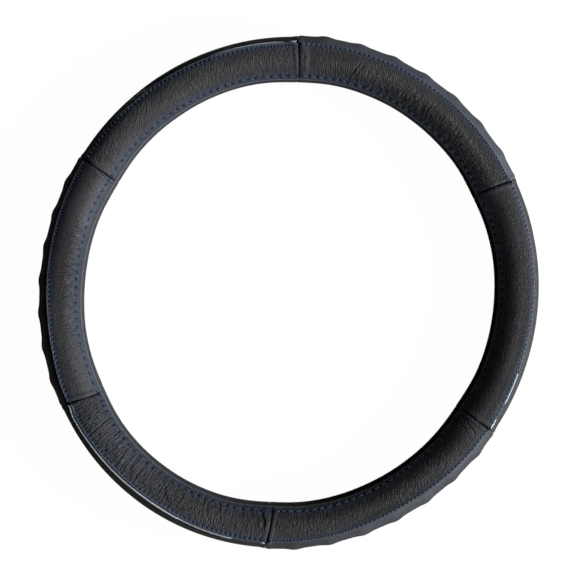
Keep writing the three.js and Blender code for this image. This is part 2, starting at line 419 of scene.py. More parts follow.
def smooth_noise(x, y, seed):
    """Soft lumps from -1 to 1, about one to each unit of x and y."""
    size = 256
    table = np.random.default_rng(seed).uniform(-1, 1, (size, size))
    column, row = np.floor(x).astype(int), np.floor(y).astype(int)
    fx, fy = x - column, y - row
    fx, fy = fx * fx * (3 - 2 * fx), fy * fy * (3 - 2 * fy)

    def at(i, j):
        return table[(column + i) % size, (row + j) % size]

    low = at(0, 0) * (1 - fx) + at(1, 0) * fx
    high = at(0, 1) * (1 - fx) + at(1, 1) * fx
    return low * (1 - fy) + high * fy


def smooth_step(value, low, high):
    share = np.clip((value - low) / (high - low), 0, 1)
    return share * share * (3 - 2 * share)


def hump(value, middle, width):
    return np.exp(-((value - middle) / width) ** 2)


def make_piece(name, points, faces, finish, marks=None):
    """A smooth mesh that rides on the root body, with float attributes for its material."""
    mesh = bpy.data.meshes.new(name)
    mesh.from_pydata(points.reshape(-1, 3).tolist(), [], faces)
    mesh.update()
    for label, values in (marks or {}).items():
        layer = mesh.attributes.new(label, "FLOAT", "POINT")
        layer.data.foreach_set("value", np.ascontiguousarray(values, np.float32).ravel())
    mesh.polygons.foreach_set("use_smooth", [True] * len(mesh.polygons))
    mesh.materials.append(finish)
    piece = bpy.data.objects.new(name, mesh)
    bpy.context.scene.collection.objects.link(piece)
    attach(piece, "root")
    return piece


def tube_faces(stations, loop, closed=False):
    """Quads between the loops of points at each station, and end caps unless it is a ring."""
    count = stations if closed else stations - 1
    i, j = np.meshgrid(np.arange(count), np.arange(loop), indexing="ij")
    k, n = (j + 1) % loop, (i + 1) % stations
    quads = np.stack([i * loop + j, i * loop + k, n * loop + k, n * loop + j], -1)
    quads = quads.reshape(-1, 4).tolist()
    if closed:
        return quads
    first = list(reversed(range(loop)))
    last = [(stations - 1) * loop + v for v in range(loop)]
    return quads + [first, last]


def turned(faces):
    """The same faces, wound the other way."""
    return [face[::-1] for face in faces]


def sector(index):
    """Bearings at which a sector's leather starts and ends."""
    end = SEAMS[index + 1] if index < len(SEAMS) - 1 else SEAMS[0] + 360
    return SEAMS[index] + along(SEAM_GAP / 2), end - along(SEAM_GAP / 2)


def panel_bearings(start, end, step):
    """Bearings along a panel, closer together where its ends roll into the seams."""
    near = along(SEAM_REACH) * np.linspace(0, 1, SEAM_POINTS) ** SEAM_CROWDING
    count = int((end - start - 2 * near[-1]) / along(step))
    middle = np.linspace(start + near[-1], end - near[-1], count)[1:-1]
    return np.concatenate([start + near, middle, end - near[::-1]])


def pairs(bearings, angles):
    """Every bearing paired with every angle, as two tables."""
    return np.meshgrid(bearings, angles, indexing="ij")


def seam_distance(bearing, start, end):
    """Length along the ring from the nearer end of a sector."""
    return arc(np.minimum(bearing - start, end - bearing))


def rolled_down(near, roll):
    """Share of the way down into a seam, along a quarter of a circle."""
    inside = np.clip(1 - near / roll, 0, 1)
    return 1 - np.sqrt(1 - inside ** 2)


def seam_lift(bearing, start, end, w):
    """The leather swells at a seam and rolls down, most at the folded corner, least at the hem."""
    corner = hump(w, 0, SEAM_CORNER_WIDTH)
    near = seam_distance(bearing, start, end)
    fall = rolled_down(near, SEAM_ROLL + SEAM_CORNER_ROLL * corner)
    fall = (SEAM_DEPTH + SEAM_CORNER_DEPTH * corner) * fall
    flat = SEAM_FLATNESS * smooth_step(w, SEAM_FLAT_FROM, SEAM_FLAT_TO)
    return (SEAM_SWELL * hump(near, SEAM_SWELL_AT, SEAM_SWELL_WIDTH) - fall) * (1 - flat)


def outer_seam_lift(bearing, start, end):
    """On the outside of the rim the ends stand up to their seam, with a narrow roll."""
    near = seam_distance(bearing, start, end)
    fall = OUTER_SEAM["depth"] * rolled_down(near, OUTER_SEAM["roll"])
    return OUTER_SEAM["swell"] * hump(near, OUTER_SEAM["at"], OUTER_SEAM["width"]) - fall


def humps(bearing, listed):
    """Sum of soft humps along the ring, each listed with its bearing, reach and height."""
    total = 0 * bearing
    for middle, reach, height in listed:
        total = total + height * hump(off_bearing(bearing, middle), 0, reach)
    return total


def fold_shift(bearing):
    """Degrees by which the fold lies nearer to the front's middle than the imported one."""
    return across(humps(bearing, FOLD_SHIFTS))


def crown(w):
    """Height, in millimetres, whose slope makes up the flatter and leaning look of the front."""
    places = np.linspace(*CROWN_PLACES)
    outwards = (90 - FOLD_ANGLE) * math.pi / 180 * SKIN - places
    slope = CROWN_LEAN * smooth_step(outwards, CROWN_LEAN_FROM, CROWN_LEAN_TO)
    slope = slope + CROWN_FLATNESS * np.clip(outwards / SKIN, 0, 1)
    slope = slope * smooth_step(places, *CROWN_STARTS)
    height = np.cumsum(-slope) * (places[1] - places[0])
    return np.interp(w, places, height - height[-1])


def leaned(bearing, index, w):
    """Bearings on a sector's front, moved so that its two seams lean."""
    start, end = sector(index)
    first = SEAM_LEAN[index] * hump(bearing, start, SEAM_LEAN_REACH)
    last = SEAM_LEAN[(index + 1) % len(SEAMS)] * hump(bearing, end, SEAM_LEAN_REACH)
    return bearing + np.clip(w / SEAM_LEAN_WIDTH, 0, 1) * (first + last)


def edge_round(edge, inwards, low, high):
    """A rounded edge, from underside to top. inwards is 1 if angles grow away from the edge."""
    radius = (high - low) / 2
    turn = np.linspace(-math.pi / 2, math.pi / 2, EDGE_POINTS)
    angles = edge + inwards * across(radius * (1 - np.cos(turn)))
    return angles, (low + high) / 2 + radius * np.sin(turn)


def fold_rise(angle):
    """The leather is doubled beside the fold and held flat, so that it stands higher there."""
    doubled = 1 - smooth_step(inset(angle), FOLD_WIDTH * DOUBLED_SHARE, FOLD_WIDTH)
    doubled = FOLD_RISE * doubled
    return doubled + FOLD_LIFT * np.clip(1 - inset(angle) / FOLD_LIFT_WIDTH, 0, 1) ** 2


def hem_retreat(bearing, w):
    """Degrees by which the front's hem stops short of its packed edge."""
    full = np.maximum(0, np.cos(np.radians(bearing - HEM_FULL_BEARING)))
    sets_in = smooth_step(w, HEM_RETREAT_FROM, inset(HEM_ANGLE))
    return (HEM_RETREAT - HEM_FULL_RETREAT * full) * sets_in


def front_place(index, bearing, angle, w):
    """Bearing and angle of points of a sector's front, once its fold, hem and seams shift."""
    shift = fold_shift(bearing) * (1 - smooth_step(w, 0, FOLD_SHIFT_WIDTH))
    return leaned(bearing, index, w), angle - hem_retreat(bearing, w) + shift


class Row:
    """A row of stitches: its needle holes along the ring and its place round the section."""

    def __init__(self, index, side, is_top):
        start, end = sector(index)
        self.index, self.side, self.is_top = index, side, is_top
        self.hole = TOP_HOLE if is_top else HEM_HOLE
        rng = np.random.default_rng(ROW_SEED + 13 * index + 5 * side + is_top)
        reach = arc(end) - arc(start) - 2 * STITCH_INSET
        spots = [0.0]
        while spots[-1] < reach:
            is_short = is_top and spots[-1] > TOP_SHORT_FROM[index] * reach
            pitch = TOP_SHORT_PITCH if is_short else TOP_PITCH if is_top else HEM_PITCH
            uneven = TOP_UNEVENNESS if is_top else HEM_UNEVENNESS
            spots.append(spots[-1] + pitch * (1 + uneven * rng.uniform(-1, 1)))
        spots = np.array(spots[:-1])
        self.spots = arc(start) + STITCH_INSET + spots * reach / spots[-1]

    def place(self, bearing):
        """Length from the fold at which the row lies."""
        s, index = arc(bearing), self.index
        if self.is_top:
            wander = smooth_noise(s / TOP_ROW_REACH, 0 * bearing, TOP_ROW_SEED + index)
            return TOP_INSETS[index] + TOP_ROW_WANDER * wander
        swing = HEM_ROW_SWING * np.cos(np.radians(bearing - HEM_ROW_BEARING))
        swing = swing + humps(bearing, HEM_ROW_SHIFTS)
        swing = swing if self.side > 0 else 0
        wander = smooth_noise(s / HEM_ROW_REACH, 0 * bearing, HEM_ROW_SEED + index)
        return inset(HEM_ROW_ANGLE + swing) + HEM_ROW_WANDER * wander

    def share(self, s):
        """Share of the way between two holes, from 0 to 1, and the gap to the nearer one."""
        after = np.clip(np.searchsorted(self.spots, s), 1, len(self.spots) - 1)
        low, high = self.spots[after - 1], self.spots[after]
        share = np.clip((s - low) / (high - low), 0, 1)
        return share, np.minimum(np.abs(s - low), np.abs(s - high))

    def dents(self, s, off):
        """Groove and needle holes under the row, and how much of a hole each point is."""
        _, gap = self.share(s)
        hole = np.exp(-((gap / HOLE_STRETCH) ** 2 + off ** 2) / self.hole ** 2)
        return -GROOVE_DEPTH * hump(off, 0, GROOVE_WIDTH) - HOLE_DEPTH * hole, hole

    def pucker(self, s, off, depth, reach, seed):
        """The leather stands up between the holes and is drawn in at them, less so further off."""
        fade = np.exp(-(np.abs(off) / reach) ** PUCKER_FADE)
        drift = PUCKER_DRIFT * (1 - fade) * smooth_noise(s / 11, off / 9, seed)
        share, _ = self.share(s + drift * reach / 4)
        strength = 0.75 + 0.5 * smooth_noise(s / 13, off / 14, seed + 1)
        arch = np.sin(math.pi * share) ** PUCKER_SHAPE
        return depth * fade * strength * (arch - PUCKER_LEVEL)


def strokes(u, v, seed):
    """Long soft lumps with sharp creases between them, and how much of a crease each point is."""
    lump = smooth_noise(u, v, seed) + FINE_SHARE * smooth_noise(2.1 * u, 1.8 * v, seed + 1)
    crease = np.clip(1 - CREASE_SHARPNESS * np.abs(lump), 0, 1)
    return 0.5 * lump - 0.5 * crease, crease


def wrinkles(style, bearing, angle, s, w, seed):
    """Fine wrinkles of a sector's leather, and how much of a crease each point is."""
    flat = ring_points(bearing, angle, SKIN) / MM
    warp = WRINKLE_WARP * smooth_noise(s / WARP_REACH, w / WARP_REACH, seed + 2)
    x, y = flat[..., 0], flat[..., 1]
    hair, hair_crease = strokes(x / WRINKLE_PITCH + warp, y / WRINKLE_LENGTH, seed)
    fan, fan_crease = strokes(s / WRINKLE_PITCH + warp, w / FAN_LENGTH, seed + 4)
    low, high = style["from"], style["to"]
    band = smooth_step(w, low - 4, low + 3) * (1 - smooth_step(w, high - 3, high + 3))
    fanned = hump(off_bearing(bearing, style["middle"]), 0, style["half"])
    fan_depth = style["fan"] * band * fanned
    starts = smooth_step(w - humps(bearing, SMOOTH_TOPS), HAIR_FROM, HAIR_FULL)
    uneven = 0.8 + 0.5 * smooth_noise(s / 15, w / 9, seed + 3)
    hair_depth = style["hair"] * starts * uneven
    lift = WRINKLE_SHARE * (hair_depth * hair + fan_depth * fan)
    # The crease mark becomes painted shade in the leather's colour
    crease = WRINKLE_SHARE * (hair_depth * hair_crease + fan_depth * fan_crease)
    crease = np.clip(crease / DEEPEST_CREASE, 0, 1)
    calm = 1 - smooth_step(w, CALM_FROM, CALM_TO)
    return lift, {"crease": crease, "hair": hair_depth * calm, "fan": fan_depth * calm}


def pale_patches(bearing, w):
    """How much paler each point of the fronts is, apart from their edges."""
    total = 0 * w
    for middle, reach, place, width, amount in PALE_PATCHES:
        total = total + humps(bearing, ((middle, reach, amount),)) * hump(w, place, width)
    return total


def single_folds(index, s, w):
    """Lift of a front's single folds, and the painted shade in their grooves."""
    lift, dark = 0 * s, 0 * s
    for first, w_first, last, w_last, depth, width in FOLDS.get(index, ()):
        share = (w - w_first) / (w_last - w_first)
        waver = FOLD_WAVER * smooth_noise(w / 3, 0 * w, int(10 * first))
        middle = arc(first + (last - first) * share + waver)
        window = smooth_step(share, -0.15, 0.25) * (1 - smooth_step(share, 0.75, 1.15))
        groove = hump(s, middle, width) * window
        away, reach = BANK_PLACE * width, BANK_WIDTH * width
        banks = (hump(s, middle - away, reach) + hump(s, middle + away, reach)) * window
        lift = lift + depth * (BANK_SHARE * banks - groove)
        dark = np.maximum(dark, FOLD_SHADE * groove * (depth > 0))
    return lift, dark


def front_shows(bearing):
    """How much of the piping shows, from 0 to 1."""
    shown, half = 0 * bearing, PIPING_RAMP / 2
    for low, high, share in PIPING_SHOWS:
        rise = smooth_step(bearing, low - half, low + half)
        fall = smooth_step(bearing, high - half, high + half)
        shown = np.maximum(shown, share * rise * (1 - fall))
    return shown


def face_columns(fine, fold_highlight):
    """Angle, distance, share of the relief and paleness of each column of a front or back panel."""
    fold_top = SKIN + FOLD_RISE + FOLD_LIFT
    fold_angles, fold_heights = edge_round(FOLD_ANGLE, 1, SEAT + UNDER_GAP, fold_top)
    hem_angles, hem_heights = edge_round(HEM_ANGLE, -1, SEAT, SKIN)
    count = int(np.radians(hem_angles[-1] - fold_angles[-1]) * SKIN / fine)
    top = np.linspace(fold_angles[-1], hem_angles[-1], count + 1)[1:-1]
    under = np.linspace(hem_angles[0], fold_angles[0], UNDERSIDE_POINTS + 2)[1:-1]
    angles = np.concatenate([fold_angles, top, hem_angles[::-1], under])
    seat = np.full(len(under), SEAT)
    heights = np.concatenate([fold_heights, SKIN + fold_rise(top), hem_heights[::-1], seat])
    share = np.clip((heights - SEAT) / LEATHER, 0, 1)
    share[-len(under):] = 0
    w, end = inset(angles), inset(HEM_ANGLE)
    low, high = (end - length for length in HEM_PALENESS_FADES)
    # Painted highlight along the fold's edge, and a paler line along the hem
    paleness = fold_highlight * (1 - smooth_step(w, *FOLD_EDGE_HIGHLIGHT_FADES)) + HEM_PALENESS * smooth_step(w, low, high)
    return angles, heights, share, paleness * smooth_step(heights, SEAT + 0.2, SEAT + 0.6)


def face_panel(index, side, finish):
    """Front panel (side 1) or back panel (side -1) of a sector."""
    start, end = sector(index)
    label = SIDES[side]
    step, fine = FRONT_MESH if side > 0 else BACK_MESH
    angles, heights, share, edge = face_columns(fine, FOLD_EDGE_HIGHLIGHT[index])
    bearing, angle = pairs(panel_bearings(start, end, step), side * angles)
    s, w = arc(bearing), inset(angle)
    style = dict(zip(STYLE_KEYS, FRONT_STYLES[index] if side > 0 else BACK_STYLE))
    seed = 100 * index + (0 if side > 0 else 50)
    fine_lift, marks = wrinkles(style, bearing, angle, s, w, seed)
    if side > 0:
        fold_lift, dark = single_folds(index, s, w)
        marks["crease"] = np.maximum(marks["crease"], dark)
        ridge = EDGE_RIDGES[index] * hump(w, EDGE_RIDGE_INSET, EDGE_RIDGE_WIDTH)
        fine_lift = fine_lift + fold_lift + ridge
    lift = fine_lift + PANEL_LUMPS * smooth_noise(s / 23, w / 16, seed + 5)
    lift = lift + seam_lift(bearing, start, end, w)
    # Painted shade down in the seams, widest at the folded corner
    near = seam_distance(bearing, start, end) - SEAM_CORNER_SHADE * hump(w, 0, SEAM_CORNER_WIDTH)
    holes = SEAM_SHADE * (1 - smooth_step(near, *SEAM_SHADE_FADES))
    holes = holes * (1 - smooth_step(w, SEAM_FLAT_TO - 2, SEAM_FLAT_TO))
    tint = 0 * s
    for is_top, width in ((True, TOP_TINT_WIDTH), (False, HEM_TINT_WIDTH)):
        row = Row(index, side, is_top)
        off = w - row.place(bearing)
        dent, hole = row.dents(s, off)
        if is_top:
            lift = lift + row.pucker(s, off, TOP_PUCKER, TOP_PUCKER_REACH, seed + 8)
        else:
            pull = np.where(off < 0, style["reach"], 0.5 * style["reach"] + 2)
            lift = lift + row.pucker(s, off, style["pucker"], pull, seed + 9)
        lift = lift + dent
        # Painted shade along the top row's groove, then in the needle holes
        line = GROOVE_SHADE * hump(off, 0, GROOVE_WIDTH) * is_top
        holes = np.maximum.reduce([holes, hole, line])
        blotchy = 0.8 + 0.2 * smooth_noise(s / 9, w / 4, seed + 10)
        tint = np.maximum(tint, hump(off, 0, width) * blotchy)
    # Paler colour: the painted highlight at the fold, the pale hem line and the pale patches
    paler = edge * (0.9 + 0.2 * smooth_noise(s / 5, w / 3, seed + 11))
    if side > 0:
        paler = np.minimum(1, paler + pale_patches(np.degrees(s / RING_RADIUS), w))
        if index % 2:
            hidden = PIPING_COVER + (PIPING_CLEAR - PIPING_COVER) * front_shows(bearing)
            angle = angle - across(hidden) * (1 - smooth_step(w, PIPING_COVER_FROM, FOLD_WIDTH))
        bearing, angle = front_place(index, bearing, angle, w)
    points = ring_points(bearing, angle, heights + share * lift)
    marks |= {"hole": holes, "tint": tint, "edge": paler}
    marks = {key: value * share for key, value in marks.items()}
    marks |= {"crown": crown(w) * (side > 0), "along": s, "inset": w}
    faces = tube_faces(*bearing.shape)
    faces = faces if side > 0 else turned(faces)
    piece = make_piece(f"{label}_leather_{index + 1}", points, faces, finish, marks)
    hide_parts(f"{label}_panel_{index + 1}")


def thread_row(index, side, is_top, finish):
    """One short bent rod of thread between each two needle holes of a row."""
    row = Row(index, side, is_top)
    start, end = sector(index)
    share = np.linspace(0, 1, THREAD_RINGS)
    turn = 2 * math.pi * np.arange(THREAD_SIDES) / THREAD_SIDES
    points, faces = [], []
    arch = np.sin(math.pi * share) ** 0.5
    radius = (THREAD_RADIUS if is_top else HEM_THREAD_RADII[index]) * (0.5 + 0.5 * arch)
    gap = 0.9 * row.hole
    for low, high in zip(row.spots[:-1], row.spots[1:]):
        bearing = np.degrees((low + gap + (high - low - 2 * gap) * share) / RING_RADIUS)
        w = row.place(bearing)
        angle = FOLD_ANGLE + across(w)
        level = SKIN + fold_rise(angle) - THREAD_SINK + THREAD_ARCH * arch
        level = level + seam_lift(bearing, start, end, w)
        if side > 0:
            bearing, angle = front_place(index, bearing, angle, w)
        angle = angle[:, None] + across(radius[:, None] * np.cos(turn))
        level = level[:, None] + radius[:, None] * np.sin(turn)
        base = len(points) * THREAD_RINGS * THREAD_SIDES
        points.append(ring_points(bearing[:, None], side * angle, level))
        faces += [[base + v for v in face] for face in tube_faces(THREAD_RINGS, THREAD_SIDES)]
    label = SIDES[side]
    kind = "top" if is_top else "hem"
    faces = turned(faces) if side > 0 else faces
    name = f"{label}_{kind}_stitches_{index + 1}"
    make_piece(name, np.array(points), faces, finish)


def grip_lift(bearing, angle, start, end):
    """Padding and finger bumps of a grip."""
    first = start - along(SEAM_GAP / 2) + GRIP_START
    pitch = (end + along(SEAM_GAP / 2) - GRIP_END - first) / (GRIP_COUNT - 1)
    reach = FOLD_ANGLE - across(EDGE_GAP)
    swell = np.cos(np.radians(90 * np.minimum(1, np.abs(angle) / reach))) ** GRIP_FULLNESS
    place = (bearing - first) / pitch
    wave = ((1 + np.cos(2 * np.pi * place)) / 2) ** GRIP_SHARPNESS
    wave = np.where((place > -GRIP_SHOULDER) & (place < GRIP_COUNT - 1 + GRIP_SHOULDER), wave, 0)
    ends = smooth_step(np.minimum(bearing - start, end - bearing), 0, along(GRIP_END_FADE))
    return swell * (GRIP_PADDING * ends + GRIP_HEIGHT * wave)


def outer_columns(front_edge, back_edge, fine):
    """Angle, distance and share of the relief of each column of an outer panel."""
    low, high = SEAT + UNDER_GAP, SKIN - OUTER_EDGE_DROP
    front_angles, front_heights = edge_round(front_edge, -1, low, high)
    back_angles, back_heights = edge_round(back_edge, 1, low, high)
    count = int(np.radians(front_angles[-1] - back_angles[-1]) * SKIN / fine)
    top = np.linspace(back_angles[-1], front_angles[-1], count + 1)[1:-1]
    under = np.linspace(front_edge, back_edge, UNDERSIDE_POINTS + 2)[1:-1]
    near = np.radians(np.minimum(front_edge - top, top - back_edge)) * SKIN
    heights = high + (SKIN - high) * smooth_step(near, *OUTER_EDGE_RISE)
    angles = np.concatenate([back_angles, top, front_angles[::-1], under])
    seat = np.full(len(under), SEAT)
    distances = np.concatenate([back_heights, heights, front_heights[::-1], seat])
    share = np.clip((distances - SEAT) / (high - SEAT), 0, 1)
    share[-len(under):] = 0
    return angles, distances, share


def grip_panel(index, finish):
    """Padded outer panel with finger bumps."""
    start, end = sector(index)
    edge = FOLD_ANGLE - across(EDGE_GAP)
    step, fine = GRIP_MESH
    angles, distances, share = outer_columns(edge, -edge, fine)
    bearing, angle = pairs(panel_bearings(start, end, step), angles)
    s, w = arc(bearing), np.radians(angle) * SKIN
    seed = GRIP_SEED + 30 * index
    lift = grip_lift(bearing, angle, start, end) + outer_seam_lift(bearing, start, end)
    lift = lift + GRIP_LUMPS * smooth_noise(s / 13, w / 9, seed)
    lift = lift + GRIP_DIMPLES * smooth_noise(s / 2.2, w / 2.2, seed + 1)
    angle = angle + fold_shift(bearing) * smooth_step(angle, 0, edge)
    points = ring_points(bearing, angle, distances + share * lift)
    number = index // 2 + 1
    # Painted light on the grip's front, pale blue-grey, stronger towards the fold
    paler = 0.8 + 0.3 * smooth_step(angle, 20, 46) + 0.25 * smooth_noise(s / 18, w / 10, seed + 2)
    marks = {"edge": GRIP_PAINTED_LIGHT[number - 1] * paler * smooth_step(angle, *GRIP_PAINTED_LIGHT_FADES)}
    faces = tube_faces(*bearing.shape)
    piece = make_piece(f"grip_leather_{number}", points, faces, finish, marks)
    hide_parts(f"grip_panel_{number}")


def pinhole_lattice(length, width):
    """Points, depths and faces of a flat band with staggered pinholes, and its grid of points."""
    rows, cells = int(width / PINHOLE_PITCH), int(length / PINHOLE_PITCH)
    dx, dy = length / cells / 2, width / rows / 2
    halves, levels = 2 * cells, 2 * rows
    points = [(a * dx, r * dy) for r in range(levels + 1) for a in range(halves + 1)]
    grid = [[r * (halves + 1) + a for a in range(halves + 1)] for r in range(levels + 1)]
    depth, faces = [0.0] * len(points), []
    around = ((0, 0), (1, 0), (2, 0), (2, 1), (2, 2), (1, 2), (0, 2), (0, 1))
    half = ((0, 0), (1, 0), (1, 1), (1, 2), (0, 2), (0, 1))
    sides = PINHOLE_SIDES
    turn = [math.radians(225 + 360 / sides * k) for k in range(sides)]
    rims = ((PINHOLE_RADIUS, 0.0), (0.8 * PINHOLE_RADIUS, PINHOLE_DEPTH))
    for row in range(rows):
        for a in range(row % 2, halves - 1, 2):
            outside = [grid[2 * row + j][a + i] for i, j in around]
            x, y = points[grid[2 * row + 1][a + 1]]
            base = len(points)
            for radius, down in rims:
                points += [(x + radius * math.cos(t), y + radius * math.sin(t)) for t in turn]
                depth += [down] * sides
            for k in range(sides):
                n = (k + 1) % sides
                faces.append([outside[k], outside[n], base + n, base + k])
                faces.append([base + k, base + n, base + sides + n, base + sides + k])
            faces.append([base + sides + k for k in range(sides)])
        if row % 2:
            for a in (0, halves - 1):
                faces.append([grid[2 * row + j][a + i] for i, j in half])
    return np.array(points), np.array(depth), faces, grid


def perforated_panel(index, finish):
    """Outer panel with pinholes, whose rim is tucked under the folds on both sides."""
    start, end = sector(index)
    front_edge = FOLD_ANGLE - across(2 * EDGE_GAP + 2 * PIPING_RADIUS)
    back_edge = -(FOLD_ANGLE - across(EDGE_GAP))
    width = np.radians(front_edge - back_edge) * SKIN
    flat, depth, faces, grid = pinhole_lattice(arc(end) - arc(start), width)
    u, v = flat[:, 0], flat[:, 1]
    bearing = start + np.degrees(u / RING_RADIUS)
    angle = back_edge + np.degrees(v / SKIN)
    tuck = -TUCK_DEPTH * (1 - smooth_step(np.minimum(v, width - v), 0, TUCK_WIDTH))
    lump = PERFORATED_LUMPS * smooth_noise(u / 15, v / 10, PERFORATED_SEED + index)
    angle = angle + fold_shift(bearing) * smooth_step(angle, 0, front_edge)
    level = SKIN + tuck + lump + outer_seam_lift(bearing, start, end) - depth
    count, base = len(grid) * len(grid[0]), len(flat)
    top = ring_points(bearing, angle, level)
    low = ring_points(bearing[:count], angle[:count], SEAT)
    for row, above in zip(grid, grid[1:]):
        for a in range(len(row) - 1):
            faces.append([base + p for p in (above[a], above[a + 1], row[a + 1], row[a])])
    rim = grid[0][:-1] + [row[-1] for row in grid[:-1]]
    rim += grid[-1][:0:-1] + [row[0] for row in grid[:0:-1]]
    for p, n in zip(rim, rim[1:] + rim[:1]):
        faces.append([n, p, base + p, base + n])
    faces = turned(faces)
    points = np.concatenate([top, low])
    # Painted shade down in the pinholes
    marks = {"hole": np.concatenate([(depth > 0).astype(float), np.zeros(count)])}
    number = index // 2 + 1
    name = f"perforated_leather_{number}"
    piece = make_piece(name, points, faces, finish, marks)
    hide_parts(f"perforated_panel_{number}")


def piping_cord(index, finish):
    """Glossy piping in the groove between a perforated panel and the fold of its front panel."""
    start, end = sector(index)
    gap = along(PIPING_END_GAP)
    bearing = np.linspace(start + gap, end - gap, PIPING_STATIONS)
    shown = front_shows(bearing)
    size = PIPING_RADIUS * (HIDDEN_SIZE + (1 - HIDDEN_SIZE) * shown)
    for k, factor in enumerate(PIPING_TAPER):
        size[[k, -1 - k]] *= factor
    turn = 2 * math.pi * np.arange(PIPING_SIDES) / PIPING_SIDES
    middle = SKIN + PIPING_PROUD * shown - size - HIDDEN_DEPTH * (1 - shown)
    place = FOLD_ANGLE - across(PIPING_OUT) + fold_shift(bearing)
    angle = place[:, None] + across(size[:, None] * np.cos(turn))
    level = middle[:, None] + size[:, None] * np.sin(turn)
    points = ring_points(bearing[:, None], angle, level)
    number = index // 2 + 1
    faces = turned(tube_faces(PIPING_STATIONS, PIPING_SIDES))
    piece = make_piece(f"piping_cord_{number}", points, faces, finish)
    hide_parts(f"piping_{number}")


def rubber_liner(finish):
    """The rubber ring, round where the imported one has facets."""
    outside = np.linspace(-LIP_ANGLE, LIP_ANGLE, RUBBER_POINTS)
    lip = np.linspace(0, math.pi, LIP_POINTS)[1:-1]
    half = RUBBER_WALL / 2
    middle = CHANNEL_RADIUS + half
    swell = across(half * np.sin(lip))
    angles = np.concatenate([outside, LIP_ANGLE + swell, outside[::-1], -LIP_ANGLE - swell])
    bead = LIP_BEAD * hump(np.abs(outside), LIP_ANGLE - LIP_BEAD_INSET, LIP_BEAD_WIDTH)
    distances = np.concatenate([
        RUBBER_RADIUS + bead, middle + half * np.cos(lip),
        np.full(len(outside), CHANNEL_RADIUS), middle - half * np.cos(lip),
    ])
    bearing, angle = pairs(np.linspace(0, 360, RUBBER_STATIONS, endpoint=False), angles)
    points = ring_points(bearing, angle, distances)
    faces = tube_faces(*bearing.shape, closed=True)
    piece = make_piece("rubber_liner", points, faces, finish)
    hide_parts("rubber_ring")


class Finish:
    """A material under construction, with calls for the nodes that finishes share."""

    def __init__(self, name):
        self.material = bpy.data.materials.new(name)
        self.material.use_nodes = True
        self.tree = self.material.node_tree
        self.shader = self.tree.nodes["Principled BSDF"]
        self.place = self.add("TexCoord", {}, "Object")

    def fill(self, node, values):
        """Joins a node's inputs to sockets, or sets them to values."""
        for key, value in values.items():
            if isinstance(value, bpy.types.NodeSocket):
                self.tree.links.new(value, node.inputs[key])
            else:
                node.inputs[key].default_value = value

    def add(self, kind, values, output, **settings):
        """The output of a new node."""
        node = self.tree.nodes.new(f"ShaderNode{kind}")
        for key, value in settings.items():
            setattr(node, key, value)
        self.fill(node, values)
        return node.outputs[output]

    def noise(self, scale, detail, roughness, place=None):
        values = {"Scale": scale, "Detail": detail, "Roughness": roughness}
        return self.add("TexNoise", values | {"Vector": place or self.place}, "Fac")

    def cells(self, scale):
        values = {"Scale": scale, "Vector": self.place}
        return self.add("TexVoronoi", values, "Distance", feature="DISTANCE_TO_EDGE")

    def attribute(self, label):
        return self.add("Attribute", {}, "Fac", attribute_name=label)

    def stretched(self, place, factors):
        return self.add("VectorMath", {0: place, 1: factors}, "Vector", operation="MULTIPLY")

    def times(self, first, second):
        return self.add("Math", {0: first, 1: second}, "Value", operation="MULTIPLY")

    def remap(self, source, low, high, to_low, to_high):
        values = {"Value": source, "From Min": low, "From Max": high}
        return self.add("MapRange", values | {"To Min": to_low, "To Max": to_high}, "Result")

    def mix(self, factor, first, second):
        colours = [(*c, 1) if isinstance(c, tuple) else c for c in (first, second)]
        values = {0: factor} | dict(zip(MIX_COLOURS, colours))
        return self.add("Mix", values, MIX_RESULT, data_type="RGBA")

    def mark(self, label, low, high, most=1.0):
        return self.remap(self.attribute(label), low, high, 0, most)

    def bump(self, height, distance, strength, under=None):
        values = {"Height": height, "Distance": distance * MM, "Strength": strength}
        values |= {} if under is None else {"Normal": under}
        return self.add("Bump", values, "Normal")


def brighter(colour, factor):
    return tuple(factor * part for part in colour)


def add_wrinkles(f, base, normal):
    """Fine strokes between the mesh's own wrinkles, along its hair and along its fan."""
    places = {"X": f.attribute("along"), "Y": f.attribute("inset")}
    flat = f.add("CombineXYZ", places, "Vector")
    hair = ("hair", f.place, HAIR_STRETCH, HAIR_DEPTH)
    for label, place, stretch, depth in (hair, ("fan", flat, FAN_STRETCH, FAN_DEPTH)):
        lines = f.noise(1.0, 2, 0.6, f.stretched(place, stretch))
        amount = f.mark(label, 0, 0.3)
        # Painted shade in the strokes' creases
        base = f.mix(f.times(f.remap(lines, 0.34, 0.5, 0.75, 0), amount), base, CREASE_SHADE_COLOUR)
        normal = f.bump(f.times(f.remap(lines, 0.3, 0.7, 0, 1), amount), depth, 1.0, normal)
    return base, normal


